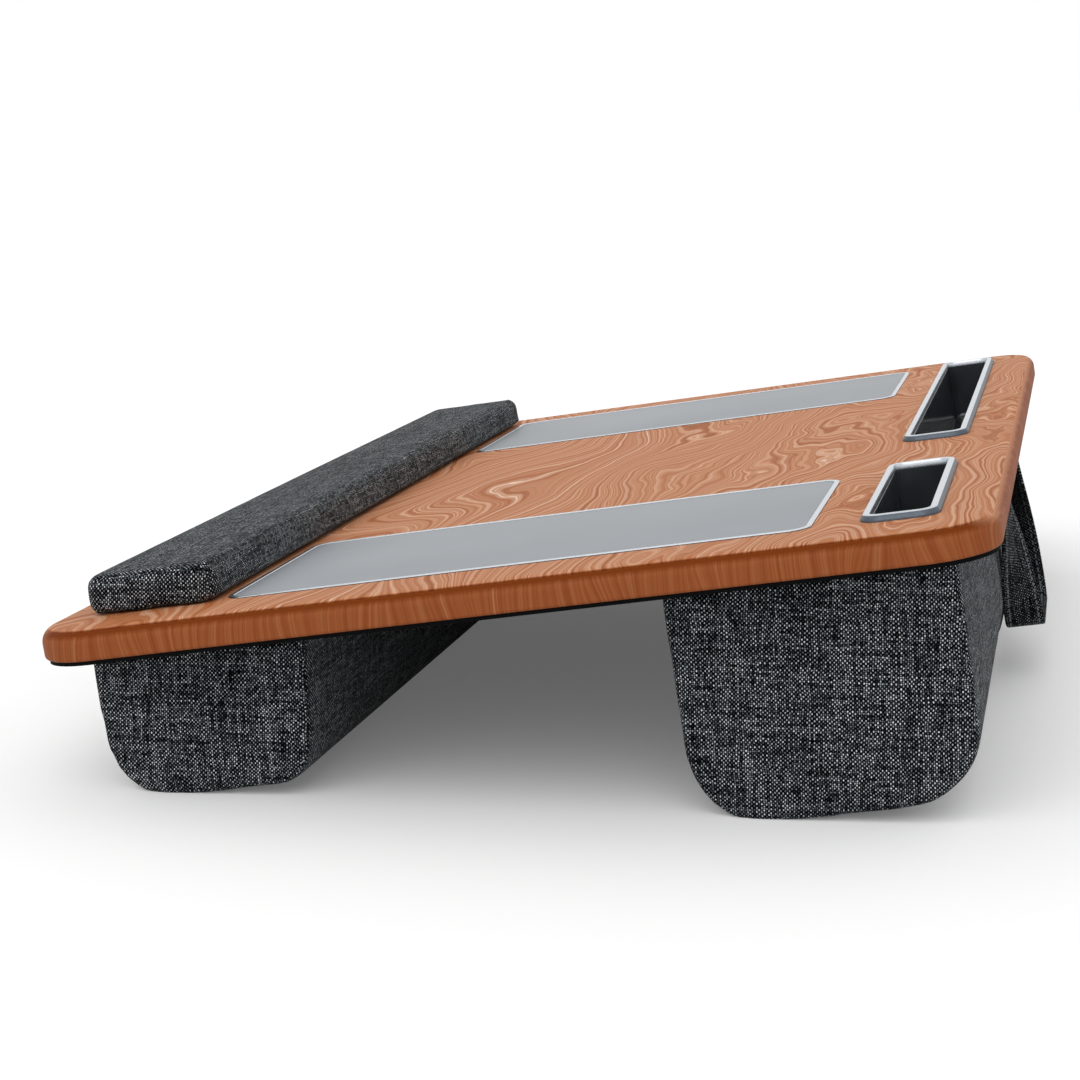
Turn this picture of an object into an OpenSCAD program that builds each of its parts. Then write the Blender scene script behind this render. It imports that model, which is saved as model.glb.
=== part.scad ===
// Cushioned lap desk: a wood board on two fabric bolsters, with a padded wrist rest,
// two inlaid mouse pads, a phone slot, a tablet slot and a webbing carry handle.
// Every piece is drawn in the board's own frame (x left to right, y front to rear,
// z = 0 on the board's top face) and then laid on the slope that the bolsters give it.

/* [Board] */
// Width of the board, left to right
board_w = 550; // [530:5:650]
// Depth of the board, front edge to rear edge
board_d = 360; // [352:2:420]
// Thickness of the wood board
board_t = 12; // [10:0.5:16]
// Radius of the board's corners, seen from above
board_corner_r = 26; // [16:1:40]
// Radius of the rounded top edge
board_top_r = 6; // [2:0.5:8]
// Radius of the eased bottom edge
board_bottom_r = 1.5; // [0.5:0.5:2]
// Thickness of the black backing sheet
backing_t = 1.5; // [0.8:0.1:3]
// How far the backing sheet stays in from the board's edge
backing_inset = 1.5; // [1:0.5:5]

/* [Slots] */
// Length of the phone slot's opening
phone_slot_w = 119; // [80:1:150]
// Length of the tablet slot's opening
tablet_slot_w = 287; // [200:1:300]
// Width of both openings, front to rear
slot_d = 21.5; // [14:0.5:26]
// Corner radius of both openings
slot_corner_r = 4; // [2:0.5:6]
// Depth of both wells below the board's top face
slot_depth = 28; // [22:1:34]
// From the board's rear edge to both bezels
slot_rear_margin = 20.5; // [18:0.5:26]
// From the board's side edges to the bezels
slot_side_margin = 28; // [20:1:40]
// Wall of the moulded wells
well_wall = 1.6; // [1:0.1:2.4]
// Width of the flange that carries a well
well_flange_w = 1.8; // [1.2:0.1:2.4]
// Thickness of that flange
well_flange_t = 1.2; // [0.8:0.1:2]
// Width of a bezel, from the opening to its outer edge
bezel_w = 3.5; // [3:0.1:5]
// Height of a bezel above the board
bezel_h = 2.5; // [1.5:0.1:4]
// Run of the bevel on a bezel's outer flank
bezel_bevel = 1.2; // [0.5:0.1:2]

/* [Mouse pads] */
// Width of a mouse pad with its trim
pad_w = 114; // [80:0.5:140]
// Gap between a mouse pad and the slots' bezels
pad_slot_gap = 17.5; // [8:0.5:80]
// From the board's side edge to a mouse pad
pad_side_margin = 29.7; // [20:0.1:40]
// Corner radius of a mouse pad's trim
pad_corner_r = 8; // [4:0.5:14]
// Depth of the recess that a pad lies in
pad_recess = 1; // [0.6:0.1:2]
// Height of the pad's face above the board
pad_proud = 0.2; // [0:0.05:0.5]
// Width of the metal trim round a pad
trim_w = 2.2; // [1.5:0.1:4]
// Height of that trim above the board
trim_proud = 0.5; // [0.3:0.1:1.2]

/* [Wrist rest] */
// Length of the wrist rest, left to right
wrist_w = 499; // [400:1:520]
// Depth of the wrist rest, front to rear
wrist_d = 52.4; // [40:0.2:60]
// Height of the wrist rest above the board, without its crown
wrist_h = 15.5; // [11:0.5:24]
// From the board's front edge to the wrist rest
wrist_front = 17.2; // [12:0.2:24]
// Gap between the wrist rest and the mouse pads
wrist_pad_gap = 1.4; // [0.6:0.1:4]
// Radius of the wrist rest's soft top edge
wrist_edge_r = 5.5; // [4:0.5:7]
// Radius of the wrist rest's corners, seen from above
wrist_corner_r = 10; // [8:0.5:18]
// Crown of the wrist rest's top face
wrist_crown = 1.2; // [0.2:0.1:3]
// Thickness of the stiffener inside the wrist rest
wrist_plate_t = 2; // [1:0.2:3]
// Thickness of the mounting tape below the wrist rest
tape_t = 0.6; // [0.4:0.1:1]
// Width of each strip of mounting tape
tape_w = 12; // [8:1:14]

/* [Bolsters] */
// Length of both bolsters, left to right
bolster_len = 500; // [440:5:520]
// Depth of the front bolster at its top
front_bolster_d = 88; // [80:1:110]
// Height of the front bolster
front_bolster_h = 58.7; // [50:0.5:66]
// From the board's front edge to the front bolster
front_bolster_y = 14.5; // [8:0.5:24]
// Radius of the front bolster's lower front corner
front_bolster_nose_r = 25; // [15:1:28]
// Radius of the front bolster's lower rear corner
front_bolster_heel_r = 15; // [8:1:20]
// How far the front bolster's rear wall runs in towards its foot
front_bolster_taper = 8; // [0:1:14]
// Depth of the rear bolster
rear_bolster_d = 104.5; // [98:0.5:125]
// Height of the rear bolster
rear_bolster_h = 90.2; // [80:0.5:100]
// From the board's rear edge to the rear bolster
rear_bolster_y = 17.5; // [15:0.5:18]
// Radius of the rear bolster's lower corners
rear_bolster_corner_r = 28; // [18:1:34]
// Thickness of the padded fabric cover
cover_t = 2.4; // [1.6:0.2:3]
// Radius of the soft vertical edges at a bolster's ends
bolster_end_r = 9; // [5:0.5:14]
// Crown of a bolster's end faces
bolster_end_crown = 2.2; // [0.5:0.1:4]
// Crown of a bolster's long walls
bolster_wall_crown = 1.6; // [0:0.1:3]
// Depth of the flat that the board's load presses into each bolster's foot
foot_press = 0.5; // [0.3:0.1:1]
// Thickness of the stiffener inside the top of a bolster
bolster_plate_t = 3; // [2:0.5:5]
// Thickness of each layer of the hook-and-loop strips
strip_t = 1.3; // [0.8:0.1:1.6]
// Width of the hook-and-loop strips
strip_w = 38; // [25:1:50]
// Length of the hook-and-loop strips
strip_len = 420; // [300:5:430]

/* [Carry handle] */
// Width of the webbing
webbing_w = 17; // [12:0.5:20]
// Thickness of the webbing
webbing_t = 1.8; // [1.2:0.1:2.2]
// Distance between the handle's two ends under the board
handle_span = 150; // [120:1:180]
// Length of the straight grip at the bottom of the loop
handle_grip = 46; // [30:1:80]
// How far the handle hangs below its fold line
handle_drop = 75; // [50:1:78]
// Radius of the turn from a leg into the grip
handle_turn_r = 8; // [5:0.5:12]
// Length of each end that stays flat before it twists
handle_flat = 12; // [10:0.5:20]
// From the board's rear edge to the handle's fold line
handle_y = 8; // [7:0.1:9]
// Radius of the handle screws' shanks
screw_r = 1.5; // [1:0.1:1.8]
// Radius of the handle screws' heads
screw_head_r = 2.6; // [2.4:0.1:3]
// Height of the handle screws' heads
screw_head_h = 1.4; // [1:0.1:2]
// How far the handle screws reach into the wood
screw_bite = 8; // [5:0.5:9]
// Distance between the two screws of a tab
screw_pitch = 9; // [7:0.5:10]

/* [Hidden] */
$fn = 48;

// Clearances and cutting overlap
fit = 0.3;        // between a soft cover and what lies in it or beside it
inlay_fit = 0.1;  // between an inlay and its recess
screw_fit = 0.05; // between a screw's shank and its pilot hole
shaft_fit = 0.3;  // round a screw's shank in webbing and sheet
eps = 0.1;        // by which a cut runs past a face
big = 2000;       // longer than any piece

// Places along y and z in the board's frame
backing_z = -board_t - backing_t;
cover_top_z = backing_z - fit;
slot_mid_y = board_d - slot_rear_margin - bezel_w - slot_d / 2;
phone_mid_x = board_w / 2 - slot_side_margin - bezel_w - phone_slot_w / 2;
tablet_mid_x = -(board_w / 2 - slot_side_margin - bezel_w - tablet_slot_w / 2);
pad_mid_x = board_w / 2 - pad_side_margin - pad_w / 2;
pad_front_y = wrist_front + wrist_d + wrist_pad_gap;
pad_d = slot_mid_y - slot_d / 2 - bezel_w - pad_slot_gap - pad_front_y;
pad_mid_y = pad_front_y + pad_d / 2;
wrist_mid_y = wrist_front + wrist_d / 2;
rear_front_y = board_d - rear_bolster_y - rear_bolster_d;

// A bolster is [front y, depth, height, nose radius, heel radius, taper of the rear wall]
front_bolster = [
    front_bolster_y, front_bolster_d, front_bolster_h - fit,
    front_bolster_nose_r, front_bolster_heel_r, front_bolster_taper
];
rear_bolster = [
    rear_front_y, rear_bolster_d, rear_bolster_h - fit,
    rear_bolster_corner_r, rear_bolster_corner_r, 0
];

// Slope of the board: both noses touch the ground, so the line under them is level
function nose_y(b) = b[0] + b[3];
function nose_z(b) = cover_top_z - b[2] + b[3];
nose_dy = nose_y(rear_bolster) - nose_y(front_bolster);
nose_dz = nose_z(rear_bolster) - nose_z(front_bolster);
nose_dr = rear_bolster[3] - front_bolster[3];
slope = asin(nose_dr / norm([nose_dy, nose_dz])) - atan2(nose_dz, nose_dy);
lift = front_bolster[3] - foot_press - nose_y(front_bolster) * sin(slope)
    - nose_z(front_bolster) * cos(slope);

// Carry handle: fold line, two slanting legs, two turns and a straight grip
fold_y = board_d - handle_y;
fold_gap = 0.4;
fold_z = backing_z - fold_gap - webbing_t / 2;
leg_run = (handle_span - handle_grip) / 2;
turn_centre_drop = handle_drop - handle_turn_r;
leg_reach = norm([leg_run, turn_centre_drop]);
leg_dip = atan2(turn_centre_drop, leg_run) + asin(handle_turn_r / leg_reach);
leg_len = sqrt(pow(leg_reach, 2) - pow(handle_turn_r, 2));
turn_len = handle_turn_r * leg_dip * PI / 180;
twist_power = 1.1;
tab_end_y = fold_y - webbing_t / 2 - fit;
tab_front_y = slot_mid_y + slot_d / 2 + well_wall + 2 * fit;
tab_mid_y = (tab_front_y + tab_end_y) / 2;

// Angle below the x axis of the handle's middle line, at the length s from its left end
function handle_dip(s) =
    s < leg_len ? leg_dip : max(leg_dip - (s - leg_len) / handle_turn_r * 180 / PI, 0);
// Point on that line, as [x, z] from the middle of the fold line
function handle_point(s) =
    s < leg_len
        ? [-handle_span / 2 + s * cos(leg_dip), -s * sin(leg_dip)]
        : let (a = handle_dip(s))
            [-handle_grip / 2 - handle_turn_r * sin(a), -turn_centre_drop - handle_turn_r * cos(a)];
// Turn of the webbing's width out of the plane of the loop, a quarter turn in all
function handle_twist(s) =
    90 * pow(max(min((s - handle_flat) / (leg_len + turn_len / 2 - handle_flat), 1), 0), twist_power);
// Lean of the webbing's width, which starts along the fold line
function handle_lean(s) =
    90 + (handle_dip(s) - 90) * min(s / handle_flat, 1);
function mirror_x(p) = [-p[0], p[1], p[2]];
// Four corners of the webbing at the length s
function webbing_corners(s) =
    let (
        m = handle_point(s), lean = handle_lean(s), turn = handle_twist(s),
        flat = [sin(lean), 0, cos(lean)],
        wide = cos(turn) * flat + sin(turn) * [0, 1, 0],
        thick = cos(turn) * [0, 1, 0] - sin(turn) * flat,
        c = [m[0], 0, m[1]], hw = webbing_w / 2, ht = webbing_t / 2
    )
    [c - hw * wide - ht * thick, c + hw * wide - ht * thick,
     c + hw * wide + ht * thick, c - hw * wide + ht * thick];
leg_steps = 16;
turn_steps = 6;
half_stations = concat(
    [for (i = [0:leg_steps - 1]) leg_len * i / leg_steps],
    [for (i = [0:turn_steps]) leg_len + turn_len * i / turn_steps]
);
left_rings = [for (s = half_stations) webbing_corners(s)];
right_rings = [
    for (i = [len(left_rings) - 1:-1:0])
        [for (p = left_rings[i]) mirror_x(p)]
];
handle_rings = concat(left_rings, right_rings);

// Ends of the whole object from front to rear, for the origin below its middle
front_end = board_top_r * (cos(slope) + sin(slope) - 1);
rear_end = max([
    for (r = handle_rings, p = r)
        (fold_y + p[1]) * cos(slope) - (fold_z + p[2]) * sin(slope)
]);
origin_y = (front_end + rear_end) / 2;

// ---------- shared shapes ----------

// Lays a piece from the board's frame on its slope, over the origin
module on_slope() {
    translate([0, -origin_y, lift]) rotate([slope, 0, 0]) children();
}

// Flat outline of a rectangle with round corners, about its middle
module round_rect(w, d, r) {
    square([w - 2 * r, d], center = true);
    square([w, d - 2 * r], center = true);
    for (sx = [-1, 1], sy = [-1, 1])
        translate([sx * (w / 2 - r), sy * (d / 2 - r)]) circle(r);
}

module plate(w, d, r, z0, z1) {
    translate([0, 0, z0]) linear_extrude(z1 - z0) round_rect(w, d, r);
}

// Carries a profile round a rectangle with round corners: x = 0 is its outline
module rim(w, d, r) {
    for (i = [0:3])
        rotate([0, 0, 90 * i]) {
            across = i % 2 == 0 ? w : d;
            along = i % 2 == 0 ? d : w;
            translate([across / 2, 0, 0]) rotate([90, 0, 0])
                linear_extrude(along - 2 * r, center = true) children();
            translate([across / 2 - r, along / 2 - r, 0])
                rotate_extrude(angle = 90) translate([r, 0]) children();
        }
}

function arc(y, z, r, from, to, steps) =
    [for (i = [0:steps]) let (a = from + (to - from) * i / steps) [y + r * cos(a), z + r * sin(a)]];
// Points strictly between two points, pushed sideways into a crown
function crowned(a, b, steps, crown) =
    let (d = b - a, side = [-d[1], d[0]] / -norm(d))
    [for (i = [1:steps - 1]) a + d * i / steps + crown * sin(180 * i / steps) * side];

// Section of a bolster b as [y, z] points, drawn in by inset and cut at top below z = 0
wall_steps = 5;
arc_steps = 8;
function bolster_section(b, inset, top, crown) =
    let (
        h = b[2], taper = b[5], slant = norm([h, taper]),
        rn = max(b[3] - inset, 1), rh = max(b[4] - inset, 1),
        rear = b[1] - inset * slant / h, foot = -h + inset,
        nose = arc(inset + rn, foot + rn, rn, 180, 270, arc_steps),
        heel = arc(rear + ((foot + rh) * taper - rh * slant) / h, foot + rh, rh,
            270, 360 - atan2(taper, h), arc_steps),
        front_top = [inset, -top], rear_top = [rear - top * taper / h, -top]
    )
    concat(
        [front_top], crowned(front_top, nose[0], wall_steps, crown), nose, heel,
        crowned(heel[arc_steps], rear_top, wall_steps, crown), [rear_top]
    );

// Closed skin over rings of equally many points, each ring joined to the next
module skin(rings, first_centre, last_centre) {
    n = len(rings[0]);
    m = len(rings);
    points = concat([for (r = rings, p = r) p], [first_centre, last_centre]);
    sides = [
        for (i = [0:m - 2], j = [0:n - 1])
            let (k = (j + 1) % n, near = i * n, far = near + n)
            each [[near + j, far + j, far + k], [near + j, far + k, near + k]]
    ];
    first_cap = [for (j = [0:n - 1]) [m * n, j, (j + 1) % n]];
    last_cap = [for (j = [0:n - 1]) [m * n + 1, (m - 1) * n + (j + 1) % n, (m - 1) * n + j]];
    polyhedron(points, concat(sides, first_cap, last_cap));
}

// Cushion form of a bolster: crowned walls, soft vertical edges and crowned end faces
mid_steps = 6;
end_steps = 4;
cap_rings = [0.7, 0.35];
crown_fade = 4; // how sharply a wall's crown falls off towards its ends
module bolster_form(b) {
    end_x = bolster_len / 2 - bolster_end_crown;
    flat_x = end_x - bolster_end_r;
    centre = [b[1] / 2, -b[2] / 2];
    cap = bolster_section(b, bolster_end_r, 0, 0);
    caps = [
        for (k = cap_rings)
            let (x = end_x + bolster_end_crown * (1 - k * k))
            [for (p = cap) let (q = centre + k * (p - centre)) [x, q[0], q[1]]]
    ];
    rounding = [
        for (i = [1:end_steps])
            let (a = 90 * i / end_steps)
            [for (p = bolster_section(b, bolster_end_r * (1 - cos(a)), 0, 0))
                [flat_x + bolster_end_r * sin(a), p[0], p[1]]]
    ];
    walls = [
        for (i = [-mid_steps:mid_steps])
            let (x = flat_x * i / mid_steps, crown = bolster_wall_crown * (1 - pow(x / flat_x, crown_fade)))
            [for (p = bolster_section(b, 0, 0, crown)) [x, p[0], p[1]]]
    ];
    right = concat(rounding, caps);
    left = [for (i = [len(right) - 1:-1:0]) [for (p = right[i]) mirror_x(p)]];
    tip = [bolster_len / 2, centre[0], centre[1]];
    skin(concat(left, walls, right), mirror_x(tip), tip);
}

// Straight core of a bolster, drawn in from its form
module bolster_core(b, inset, top) {
    core_len = bolster_len - 2 * (bolster_end_crown + bolster_end_r + inset);
    rotate([90, 0, 90]) linear_extrude(core_len, center = true)
        polygon(bolster_section(b, inset, top, 0));
}

module at_bolster(b) {
    translate([0, b[0], cover_top_z]) children();
}

module strip(b_mid_y, z0, z1, grow = 0) {
    translate([-strip_len / 2 - grow, b_mid_y - strip_w / 2 - grow, z0])
        cube([strip_len + 2 * grow, strip_w + 2 * grow, z1 - z0]);
}
front_strip_y = front_bolster_y + front_bolster_d / 2;
well_front_y = slot_mid_y - slot_d / 2 - well_wall;
rear_strip_y = (rear_front_y + cover_t + well_front_y) / 2;

// Everything below the surface that the desk stands on
module ground() {
    translate([-big / 2, -big / 2, -big]) cube([big, big, big]);
}

module at_phone() {
    translate([phone_mid_x, slot_mid_y, 0]) children();
}

module at_tablet() {
    translate([tablet_mid_x, slot_mid_y, 0]) children();
}

// Space round the body of a well, at both slots
module well_space(grow, z0, z1) {
    side = well_wall + grow;
    d = slot_d + 2 * side;
    r = slot_corner_r + side;
    at_phone() plate(phone_slot_w + 2 * side, d, r, z0, z1);
    at_tablet() plate(tablet_slot_w + 2 * side, d, r, z0, z1);
}

// Flange rebate at both slots, in the board's top face
module flange_space() {
    side = well_wall + well_flange_w + inlay_fit;
    d = slot_d + 2 * side;
    r = slot_corner_r + side;
    at_phone() plate(phone_slot_w + 2 * side, d, r, -well_flange_t, eps);
    at_tablet() plate(tablet_slot_w + 2 * side, d, r, -well_flange_t, eps);
}

// Places of the handle's screws, two on each tab
module at_screws() {
    for (sx = [-1, 1], sp = [-1, 1])
        translate([sx * handle_span / 2 + sp * screw_pitch / 2, tab_mid_y, 0]) children();
}

module screw_bores(r, z0, z1) {
    at_screws() translate([0, 0, z0]) cylinder(h = z1 - z0, r = r);
}

// ---------- board ----------

module board_edge() {
    band = board_corner_r;
    difference() {
        translate([-band, -board_t]) square([band, board_t]);
        translate([-board_top_r, -board_top_r]) difference() {
            square(board_top_r + eps);
            circle(board_top_r);
        }
        translate([-board_bottom_r, -board_t + board_bottom_r]) difference() {
            translate([0, -board_bottom_r - eps]) square(board_bottom_r + eps);
            circle(board_bottom_r);
        }
    }
}

module top_board() {
    color("#9c5b3c") on_slope() difference() {
        translate([0, board_d / 2, 0]) {
            rim(board_w, board_d, board_corner_r) board_edge();
            translate([-board_w / 2 + board_corner_r, -board_d / 2 + board_corner_r, -board_t])
                cube([board_w - 2 * board_corner_r, board_d - 2 * board_corner_r, board_t]);
        }
        well_space(inlay_fit, -board_t - eps, eps);
        flange_space();
        for (sx = [-1, 1])
            translate([sx * pad_mid_x, pad_mid_y, 0])
                plate(pad_w + 2 * inlay_fit, pad_d + 2 * inlay_fit,
                    pad_corner_r + inlay_fit, -pad_recess, eps);
        screw_bores(screw_r + screw_fit, -board_t - eps, -board_t + screw_bite + eps);
    }
}

module backing_sheet() {
    color("#141414") on_slope() difference() {
        translate([0, board_d / 2, 0])
            plate(board_w - 2 * backing_inset, board_d - 2 * backing_inset,
                board_corner_r - backing_inset, backing_z, -board_t);
        well_space(inlay_fit, backing_z - eps, -board_t + eps);
        screw_bores(screw_r + shaft_fit, backing_z - eps, -board_t + eps);
    }
}

// ---------- slots ----------

module bezel(w) {
    rim(w + 2 * bezel_w, slot_d + 2 * bezel_w, slot_corner_r + bezel_w)
        polygon([
            [-bezel_w, 0], [0, 0], [0, bezel_h / 3],
            [-bezel_bevel, bezel_h], [-bezel_w, bezel_h]
        ]);
}

module well(w) {
    side = well_wall + well_flange_w;
    difference() {
        union() {
            plate(w + 2 * well_wall, slot_d + 2 * well_wall,
                slot_corner_r + well_wall, -slot_depth - well_wall, 0);
            plate(w + 2 * side, slot_d + 2 * side, slot_corner_r + side, -well_flange_t, 0);
        }
        plate(w, slot_d, slot_corner_r, -slot_depth, eps);
    }
}

module phone_slot_bezel() {
    color("#c9ccd0") on_slope() at_phone() bezel(phone_slot_w);
}

module phone_slot_well() {
    color("#2a2d30") on_slope() at_phone() well(phone_slot_w);
}

module tablet_slot_bezel() {
    color("#c9ccd0") on_slope() at_tablet() bezel(tablet_slot_w);
}

module tablet_slot_well() {
    color("#2a2d30") on_slope() at_tablet() well(tablet_slot_w);
}

// ---------- mouse pads ----------

module pad_sheet() {
    side = trim_w + inlay_fit;
    plate(pad_w - 2 * side, pad_d - 2 * side, pad_corner_r - side, -pad_recess, pad_proud);
}

module pad_trim() {
    bevel = trim_proud;
    rim(pad_w, pad_d, pad_corner_r)
        polygon([
            [-trim_w, -pad_recess], [0, -pad_recess], [0, 0],
            [-bevel, trim_proud], [-trim_w + bevel / 2, trim_proud], [-trim_w, trim_proud / 2]
        ]);
}

module right_mouse_pad() {
    color("#8d9195") on_slope() translate([pad_mid_x, pad_mid_y, 0]) pad_sheet();
}

module left_mouse_pad() {
    color("#8d9195") on_slope() translate([-pad_mid_x, pad_mid_y, 0]) pad_sheet();
}

module right_pad_trim() {
    color("#d4d6d8") on_slope() translate([pad_mid_x, pad_mid_y, 0]) pad_trim();
}

module left_pad_trim() {
    color("#d4d6d8") on_slope() translate([-pad_mid_x, pad_mid_y, 0]) pad_trim();
}

// ---------- wrist rest ----------

// Points of a rectangle with round corners, starting at its right front corner
corner_steps = 6;
side_steps = 5;
function plan_ring(w, d, r, z, k) =
    let (
        turn = [for (i = [0:3]) let (sx = i < 1 || i > 2 ? 1 : -1, sy = i < 2 ? 1 : -1)
            [for (p = arc(sx * (w / 2 - r), sy * (d / 2 - r), r, 90 * i, 90 * i + 90, corner_steps)) p]]
    )
    [for (i = [0:3]) each concat(
        [for (p = turn[i]) [k * p[0], k * p[1], z]],
        i % 2 == 0
            ? [for (j = [1:side_steps - 1])
                let (
                    a = turn[i][corner_steps], b = turn[(i + 1) % 4][0],
                    p = a + (b - a) * j / side_steps
                )
                [k * p[0], k * p[1], z]]
            : []
    )];

wrist_bottom_z = tape_t / 2;
wrist_seam_r = 1.5;
wrist_seam_steps = 2;
wrist_arc_steps = 5;
wrist_crown_rings = [0.85, 0.6, 0.3];
module wrist_form() {
    side = [
        for (i = [0:wrist_seam_steps])
            let (a = 90 * (1 - i / wrist_seam_steps), inset = wrist_seam_r * (1 - cos(a)))
            plan_ring(wrist_w - 2 * inset, wrist_d - 2 * inset, wrist_corner_r - inset,
                wrist_bottom_z + wrist_seam_r * (1 - sin(a)), 1)
    ];
    edge = [
        for (i = [0:wrist_arc_steps])
            let (a = 90 * i / wrist_arc_steps, inset = wrist_edge_r * (1 - cos(a)))
            plan_ring(wrist_w - 2 * inset, wrist_d - 2 * inset, wrist_corner_r - inset,
                wrist_h - wrist_edge_r * (1 - sin(a)), 1)
    ];
    inner_w = wrist_w - 2 * wrist_edge_r;
    inner_d = wrist_d - 2 * wrist_edge_r;
    crown = [
        for (k = wrist_crown_rings)
            plan_ring(inner_w, inner_d, wrist_corner_r - wrist_edge_r,
                wrist_h + wrist_crown * (1 - k * k), k)
    ];
    skin(concat(side, edge, crown), [0, 0, wrist_bottom_z], [0, 0, wrist_h + wrist_crown]);
}

module at_wrist() {
    translate([0, wrist_mid_y, 0]) children();
}

wrist_core_z = wrist_bottom_z + cover_t;
module wrist_core(inset, z0, z1) {
    side = cover_t + inset;
    plate(wrist_w - 2 * side, wrist_d - 2 * side, wrist_corner_r - side, z0, z1);
}

module tape_strips(grow) {
    tape_y = wrist_d / 4;
    for (sy = [-1, 1])
        translate([-wrist_w / 2 + wrist_corner_r - grow, sy * tape_y - tape_w / 2 - grow, 0])
            cube([wrist_w - 2 * wrist_corner_r + 2 * grow, tape_w + 2 * grow, tape_t]);
}

module wrist_rest_cover() {
    color("#3b3e42") on_slope() at_wrist() difference() {
        wrist_form();
        wrist_core(0, wrist_core_z, wrist_h - cover_t);
        tape_strips(fit);
    }
}

module wrist_rest_stiffener() {
    color("#b99a6b") on_slope() at_wrist() wrist_core(fit, wrist_core_z, wrist_core_z + wrist_plate_t);
}

module wrist_rest_foam() {
    color("#e6d9b8") on_slope() at_wrist()
        wrist_core(fit, wrist_core_z + wrist_plate_t, wrist_h - cover_t);
}

module wrist_rest_tape() {
    color("#dcdcd8") on_slope() at_wrist() tape_strips(0);
}

// ---------- bolsters ----------

module bolster_cover(b, strip_y) {
    difference() {
        on_slope() difference() {
            at_bolster(b) {
                difference() {
                    bolster_form(b);
                    bolster_core(b, cover_t, cover_t);
                }
            }
            strip(strip_y, backing_z - 2 * strip_t, backing_z, fit);
            children();
        }
        ground();
    }
}

module bolster_stiffener(b) {
    intersection() {
        at_bolster(b) bolster_core(b, cover_t + fit, cover_t);
        translate([-big / 2, -big / 2, cover_top_z - cover_t - bolster_plate_t]) cube(big);
    }
}

module bolster_foam(b) {
    difference() {
        at_bolster(b) bolster_core(b, cover_t + fit, cover_t);
        translate([-big / 2, -big / 2, cover_top_z - cover_t - bolster_plate_t]) cube(big);
    }
}

// Recess in the rear cover for the handle's tabs and screw heads
module tab_space() {
    foot_z = fold_z - webbing_t / 2 - screw_head_h - fit;
    for (sx = [-1, 1])
        translate([sx * handle_span / 2 - webbing_w / 2 - fit, tab_front_y - fit, foot_z])
            cube([webbing_w + 2 * fit, tab_end_y - tab_front_y + 2 * fit, big]);
}

module front_bolster_cover() {
    color("#3b3e42") bolster_cover(front_bolster, front_strip_y);
}

module front_bolster_stiffener() {
    color("#b99a6b") on_slope() bolster_stiffener(front_bolster);
}

module front_bolster_foam() {
    color("#e6d9b8") on_slope() bolster_foam(front_bolster);
}

module front_hook_strip() {
    color("#1c1c1e") on_slope() strip(front_strip_y, backing_z - strip_t, backing_z);
}

module front_loop_strip() {
    color("#2a2a2c") on_slope() strip(front_strip_y, backing_z - 2 * strip_t, backing_z - strip_t);
}

module rear_bolster_cover() {
    color("#3b3e42") bolster_cover(rear_bolster, rear_strip_y) {
        well_space(fit, -slot_depth - well_wall - fit, eps);
        tab_space();
    }
}

module rear_bolster_stiffener() {
    color("#b99a6b") on_slope() difference() {
        bolster_stiffener(rear_bolster);
        well_space(2 * fit, -slot_depth - well_wall - 2 * fit, eps);
        tab_space();
    }
}

module rear_bolster_foam() {
    color("#e6d9b8") on_slope() difference() {
        bolster_foam(rear_bolster);
        well_space(2 * fit, -slot_depth - well_wall - 2 * fit, eps);
    }
}

module rear_hook_strip() {
    color("#1c1c1e") on_slope() strip(rear_strip_y, backing_z - strip_t, backing_z);
}

module rear_loop_strip() {
    color("#2a2a2c") on_slope() strip(rear_strip_y, backing_z - 2 * strip_t, backing_z - strip_t);
}

// ---------- carry handle ----------

module handle_tabs() {
    color("#2f3134") on_slope() difference() {
        for (sx = [-1, 1])
            translate([sx * handle_span / 2 - webbing_w / 2, tab_front_y, backing_z - webbing_t])
                cube([webbing_w, tab_end_y - tab_front_y, webbing_t]);
        screw_bores(screw_r + shaft_fit, backing_z - webbing_t - eps, backing_z + eps);
    }
}

module handle_screws() {
    head_z = backing_z - webbing_t - screw_head_h;
    color("#8b8f94") on_slope() at_screws() {
        translate([0, 0, head_z]) cylinder(h = screw_head_h, r = screw_head_r);
        translate([0, 0, head_z]) cylinder(h = -board_t + screw_bite - head_z, r = screw_r);
    }
}

module carry_handle() {
    color("#2f3134") on_slope() translate([0, fold_y, fold_z])
        skin(handle_rings, [-handle_span / 2, 0, 0], [handle_span / 2, 0, 0]);
}

top_board();
backing_sheet();
phone_slot_bezel();
phone_slot_well();
tablet_slot_bezel();
tablet_slot_well();
right_mouse_pad();
right_pad_trim();
left_mouse_pad();
left_pad_trim();
wrist_rest_cover();
wrist_rest_foam();
wrist_rest_stiffener();
wrist_rest_tape();
front_bolster_cover();
front_bolster_foam();
front_bolster_stiffener();
front_hook_strip();
front_loop_strip();
rear_bolster_cover();
rear_bolster_foam();
rear_bolster_stiffener();
rear_hook_strip();
rear_loop_strip();
handle_tabs();
handle_screws();
carry_handle();
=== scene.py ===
"""Looks of a cushioned lap desk: a veneered board on two tweed bolsters, with a padded wrist
rest, two inlaid mouse pads, a phone slot, a tablet slot and a webbing carry handle."""
import math

import bmesh
import bpy
import numpy as np
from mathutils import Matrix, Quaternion, Vector
from mathutils.geometry import tessellate_polygon


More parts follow.
